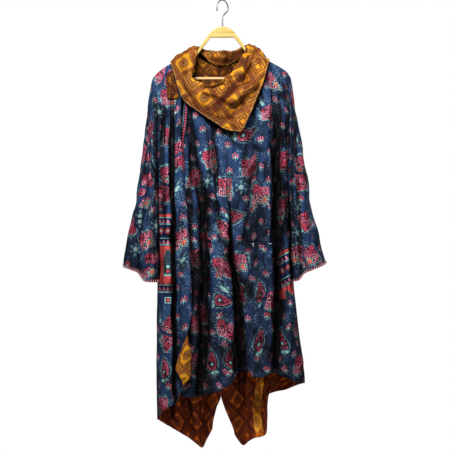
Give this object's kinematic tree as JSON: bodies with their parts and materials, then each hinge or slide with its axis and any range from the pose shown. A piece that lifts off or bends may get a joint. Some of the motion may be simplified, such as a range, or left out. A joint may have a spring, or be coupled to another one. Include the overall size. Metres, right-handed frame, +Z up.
{
  "type": "reversible wrap robe on a wooden hanger",
  "caption": "Long reversible wrap robe in navy block print, draped mustard shawl collar, flared sleeves and handkerchief hem, hung on a wooden hanger.",
  "frame": {"origin": "inside top of the hanger's hook, where a rail or wall hook carries it", "axes": "+Z up, -Y out of the front of the robe, +X to the viewer's right"},
  "size_m": [0.628, 0.1621, 1.3939],
  "materials": {
    "navy_print": "soft navy cotton with a coral, magenta and mint block print",
    "mustard_print": "soft mustard cotton with a brown and orange lattice print",
    "wood": "clear satin varnish",
    "steel": "bright wire"
  },
  "bodies": {
    "root": {"front_main": "navy_print", "front_side": "navy_print", "back_left": "navy_print", "back_right": "navy_print", "sleeve_left": "navy_print", "sleeve_right": "navy_print", "pocket": "navy_print", "collar": "mustard_print", "collar_stand": "mustard_print", "hanger_board": "wood", "hanger_bar": "wood", "hanger_hook": "steel"}
  },
  "joints": []
}
